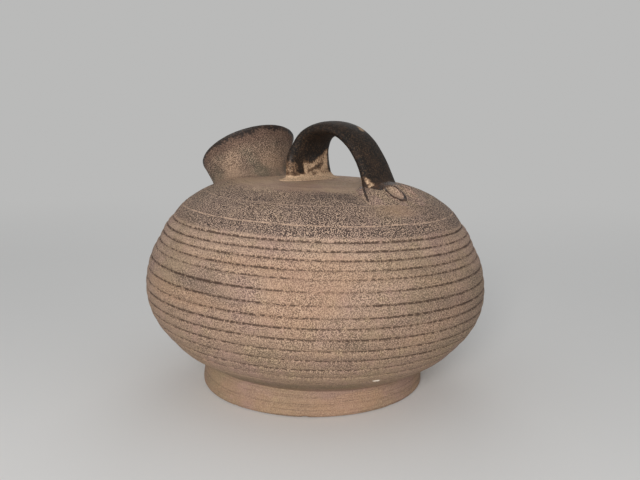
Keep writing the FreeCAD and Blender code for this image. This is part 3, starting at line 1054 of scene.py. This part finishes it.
def make_clay(name):
    """Stoneware with kiln stains, grain, dark grooves, smoke, a chalky line and a painted highlight
    along the incised line.
    """
    shader = Shader(name)
    height = shader.mark("height")
    run = shader.mark("run")
    level = shader.maths("DIVIDE", height, FULL_HEIGHT)
    base = shader.ramp(level, CLAY_RAMP)
    tint = shader.noise(150, 2, 0.5)
    base = shader.wash(base, srgb(176, 140, 128), tint, 0.42, 0.30, 0.35)
    base = shader.wash(base, srgb(176, 152, 116), tint, 0.58, 0.70, 0.35)
    drift = shader.noise(26, 3, 0.6)
    base = shader.wash(base, srgb(160, 128, 117), drift, 0.50, 0.68, 0.6)
    base = shader.wash(base, srgb(152, 133, 102), drift, 0.48, 0.34, 0.5)
    cold = shader.wash(srgb(98, 82, 75), srgb(100, 90, 68), level, 0.34, 0.24)
    colour = shader.wash(base, cold, shader.mark("grey"), 0.15, 1.0, 0.68)
    colour = shader.wash(colour, srgb(180, 142, 110), shader.mark("warm"), 0.35, 1.0, 0.45)

    # Streaks of the throwing and wiping, on the lower wall and the crown
    streak = shader.rings(run, 1.1)
    low = shader.span(level, 0.30, 0.20, 0.25, 1.0)
    lined = shader.most(low, shader.span(level, 0.945, 0.975))
    shaded = shader.times(lined, shader.span(streak, 0.50, 0.66, 0.0, 0.42))
    colour = shader.mix(shaded, colour, srgb(96, 80, 64))
    lit = shader.times(lined, shader.span(streak, 0.44, 0.32, 0.0, 0.28))
    colour = shader.mix(lit, colour, srgb(178, 150, 124))

    patchy = shader.span(shader.noise(75, 2, 0.5), 0.30, 0.62, 0.70, 1.15)
    grain = shader.times(shader.mark("grain"), patchy)
    colour, fine, coarse = speckled(shader, colour, grain)
    smoke = shader.times(shader.mark("soot"), shader.span(fine, 0.40, 0.54, 0.35, 1.0))
    colour = shader.mix(smoke, colour, srgb(68, 56, 52))
    uneven = shader.span(shader.noise(640, 2, 0.6), 0.38, 0.58, 0.30, 1.25)
    broken = shader.times(shader.mark("groove"), uneven)
    colour = shader.wash(colour, srgb(66, 48, 38), broken, 0.14, 0.9, 0.85)

    # Painted highlight along the incised line, a chalky second line and the white chip
    wavy = shader.plus(height, shader.span(shader.noise(26, 2, 0.5), 0.2, 0.8, -0.35, 0.35))
    scratched = shader.span(shader.noise(210, 2, 0.6), 0.36, 0.60, 0.15, 0.85)
    incised = shader.times(shader.line(wavy, *INCISED_HIGHLIGHT), scratched)
    second = shader.times(shader.line(wavy, *SECOND_LINE), shader.times(scratched, 0.55))
    colour = shader.mix(shader.most(incised, second), colour, srgb(198, 166, 142))
    colour = shader.mix(shader.near(CHIP, 0.0026), colour, srgb(236, 222, 206))

    rough = shader.span(coarse, 0.3, 0.7, 0.72, 0.9)
    normal = shader.bump(fine, 0.0004, 0.8)
    normal = shader.bump(coarse, 0.0006, 0.4, normal)
    normal = shader.bump(shader.times(lined, streak), 0.0006, 0.5, normal)
    return shader.finish(colour, rough, normal)


def make_lip_glaze(name):
    """Bare speckled neck, darker on one side with painted shade, with a brown band under its lip
    and dark glaze over the lip and inside.
    """
    shader = Shader(name)
    edge = shader.mark("edge")
    inside = shader.mark("inside")
    # The warm mark carries the neck's hue and its painted shade on one side
    base = shader.wash(srgb(104, 86, 73), srgb(158, 131, 108), shader.mark("warm"), 0.1, 0.9)
    base = shader.wash(base, srgb(98, 90, 74), shader.noise(52, 2, 0.5), 0.47, 0.62, 0.75)
    colour, fine, coarse = speckled(shader, base, shader.span(edge, 22.0, 14.0, 0.3, 0.7))
    patch = shader.noise(60, 3, 0.6)
    uneven = shader.plus(edge, shader.span(patch, 0.2, 0.8, -2.0, 2.0))
    brown = shader.wash(srgb(124, 98, 84), srgb(74, 57, 48), fine, 0.40, 0.60)
    colour = shader.wash(colour, brown, uneven, 10.5, 4.2, 0.85)
    uneven = shader.plus(uneven, shader.span(coarse, 0.3, 0.7, -1.0, 1.0))
    dark = shader.wash(srgb(40, 33, 30), srgb(62, 47, 38), patch, 0.35, 0.75)
    dark = shader.wash(dark, srgb(110, 86, 70), coarse, 0.56, 0.7, 0.5)
    colour = shader.wash(colour, dark, uneven, 3.8, 1.4, 0.9)
    ragged = shader.plus(edge, shader.span(coarse, 0.3, 0.7, -0.4, 0.4))
    rim = shader.span(ragged, 2.9, 1.8)
    colour = shader.mix(rim, colour, dark)
    colour = shader.mix(inside, colour, dark)
    gloss = shader.most(shader.most(inside, rim), shader.span(uneven, 4.0, 2.0))
    rough = shader.span(gloss, 0.0, 1.0, 0.82, 0.48)
    normal = shader.bump(fine, 0.0004, 0.7)
    return shader.finish(colour, rough, normal)


def make_dark_glaze(name):
    """Dark brown glaze of the strap, thin or missing in places and glassier on the front leg."""
    shader = Shader(name)
    along = shader.mark("along")
    rust = shader.noise(130, 4, 0.62)
    fine = shader.noise(1300, 2, 0.6)
    mottle = shader.noise(640, 2, 0.6)
    base = shader.wash(srgb(26, 21, 18), srgb(46, 35, 28), rust, 0.42, 0.70)
    base = shader.wash(base, srgb(80, 59, 43), mottle, 0.52, 0.68, 0.45)
    base = shader.wash(base, srgb(104, 84, 64), fine, 0.55, 0.66, 0.42)
    broken = shader.times(shader.mark("worn"), shader.span(rust, 0.3, 0.6, 0.4, 1.0))
    base = shader.wash(base, srgb(164, 136, 108), broken, 0.25, 0.8)
    base = shader.wash(base, srgb(92, 72, 60), along, 0.84, 0.96, 0.5)
    clay = speckled(shader, srgb(222, 186, 150), 0.5)[0]
    ragged = shader.plus(shader.mark("bare"), shader.span(rust, 0.25, 0.75, -0.22, 0.22))
    ragged = shader.plus(ragged, shader.span(mottle, 0.3, 0.7, -0.12, 0.12))
    thin = shader.wash(srgb(132, 104, 80), srgb(72, 52, 39), fine, 0.42, 0.58)
    colour = shader.wash(base, thin, ragged, 0.22, 0.50)
    colour = shader.wash(colour, clay, ragged, 0.55, 0.85)
    dull = shader.most(shader.span(ragged, 0.35, 0.7), broken)
    from_gloss = shader.maths("ABSOLUTE", shader.maths("SUBTRACT", along, GLOSSY_PART))
    glassy = shader.span(from_gloss, 0.06, 0.02, 0.0, 0.25)
    plain = shader.maths("SUBTRACT", shader.span(rust, 0.3, 0.7, 0.66, 0.76), glassy)
    rough = shader.most(plain, shader.span(dull, 0.0, 1.0, 0.2, 0.84))
    normal = shader.bump(fine, 0.0003, 0.45)
    normal = shader.bump(rust, 0.0009, 0.35, normal)
    return shader.finish(colour, rough, normal, 0.22)


def make_pad_clay(name):
    """Wiped stoneware of the pad, with glaze left in its hollows."""
    shader = Shader(name)
    dent = shader.mark("dent")
    tint = shader.noise(110, 2, 0.5)
    base = shader.wash(srgb(174, 142, 128), srgb(174, 148, 121), tint, 0.35, 0.65)
    base = shader.mix(shader.times(dent, 0.55), base, srgb(178, 150, 126))
    base, fine, _ = speckled(shader, base, shader.span(dent, 0.0, 1.0, 0.95, 0.5))
    patch = shader.noise(260, 3, 0.6)
    cover = shader.times(shader.mark("glaze"), shader.span(patch, 0.3, 0.52, 0.55, 1.3))
    dark = shader.wash(srgb(44, 34, 29), srgb(84, 60, 44), patch, 0.4, 0.65)
    colour = shader.wash(base, dark, cover, 0.30, 0.62)
    rough = shader.span(cover, 0.35, 0.6, 0.85, 0.5)
    normal = shader.bump(fine, 0.0004, 0.7)
    return shader.finish(colour, rough, normal)


# Build and hand over
dome = make_shoulder_dome()
cut_hole(dome, make_bore_cutter())
clay = make_clay("Speckled_stoneware")
lip = make_lip_glaze("Lip_glaze_over_stoneware")
glaze = make_dark_glaze("Dark_brown_glaze")
pad_clay = make_pad_clay("Wiped_stoneware")
PARTS = (
    (make_foot_ring(), "foot_ring", "foot_clay", clay),
    (make_lower_bowl(), "lower_bowl", "body_clay", clay),
    (dome, "shoulder_dome", "body_clay", clay),
    (make_spout(), "spout", "lip_glaze", lip),
    (make_spout_luting(), "spout_luting", "wiped_clay", lip),
    (make_strap(), "handle_strap", "dark_glaze", glaze),
    (make_front_luting(), "front_handle_luting", "dark_glaze", glaze),
    (make_rear_pad(), "rear_handle_pad", "wiped_clay", pad_clay),
)
for piece, node, slot, material in PARTS:
    piece.data.materials.clear()
    piece.data.materials.append(material)
    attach(piece, "root")
    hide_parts(node)


# Strength of the sky, colour behind the pot, half the floor's width, the distances over which
# the floor runs into the backdrop, and its small drop under the foot
SKY = 0.40
BACKDROP = (0.49, 0.49, 0.485, 1)
FLOOR_HALF = 14.0
FLOOR_FADE = (0.16, 1.1)
FLOOR_DROP = 0.0002


def make_floor():
    """A wide pale floor, lit and shadowed near the pot, that runs into the backdrop far off."""
    shader = Shader("Studio_floor")
    colour = shader.mix(shader.noise(3, 2, 0.5), srgb(229, 227, 224), srgb(233, 231, 228))
    shader.feed(shader.principled.inputs["Base Color"], colour)
    shader.principled.inputs["Roughness"].default_value = 0.95
    far = shader.span(shader.vector("LENGTH", shader.place), *FLOOR_FADE)
    shader.show_backdrop("ShaderNodeEmission", shader.principled, "Material Output", far)
    corners = [(x * FLOOR_HALF, y * FLOOR_HALF, 0) for x, y in ((-1, -1), (1, -1), (1, 1), (-1, 1))]
    mesh = bpy.data.meshes.new("Studio_floor")
    mesh.from_pydata(corners, [], [(0, 1, 2, 3)])
    mesh.materials.append(shader.owner)
    floor = bpy.data.objects.new("Studio_floor", mesh)
    floor.location.z = -FLOOR_DROP
    bpy.context.scene.collection.objects.link(floor)
    return floor


make_floor()


def make_world():
    """Even soft light, with a backdrop that the far floor runs into."""
    shader = Shader("Studio", bpy.data.worlds)
    bpy.context.scene.world = shader.owner
    light = shader.tree.nodes["Background"]
    light.inputs["Color"].default_value = (0.90, 0.93, 0.96, 1)
    light.inputs["Strength"].default_value = SKY
    shader.show_backdrop("ShaderNodeBackground", light, "World Output")


make_world()

# Point of the pot that the lamps are turned towards
LAMP_AIM = Vector((0, 0, 0.07))


def add_lamp(name, place, size, watts):
    """A square area lamp turned towards the pot."""
    data = bpy.data.lights.new(name, "AREA")
    data.size = size
    data.energy = watts
    lamp = bpy.data.objects.new(name, data)
    lamp.location = place
    lamp.rotation_euler = (LAMP_AIM - Vector(place)).to_track_quat("-Z", "Y").to_euler()
    bpy.context.scene.collection.objects.link(lamp)


add_lamp("Key", (0.55, -0.90, 0.40), 0.35, 8.6)
add_lamp("Back_fill", (-0.60, 0.85, 0.70), 0.6, 1.6)

# Camera at the photograph's angle
CAMERA_PLACE = Vector((0.2905, -0.3490, 0.1720))
FORWARD = Vector((-0.6252, 0.7601, -0.1772)).normalized()
ROLL = math.radians(0.41)
side = FORWARD.cross(Vector((0, 0, 1))).normalized()
up = side.cross(FORWARD)
right = side * math.cos(ROLL) + up * math.sin(ROLL)
up = right.cross(FORWARD)
camera_data = bpy.data.cameras.new("Camera")
camera_data.lens = 40.29
camera_data.sensor_width = 36.0
camera_data.clip_start = 0.01
camera = bpy.data.objects.new("Camera", camera_data)
facing = Matrix((right, up, -FORWARD)).transposed().to_4x4()
camera.matrix_world = Matrix.Translation(CAMERA_PLACE) @ facing
bpy.context.scene.collection.objects.link(camera)
bpy.context.scene.camera = camera
bpy.context.scene.view_settings.view_transform = "Standard"
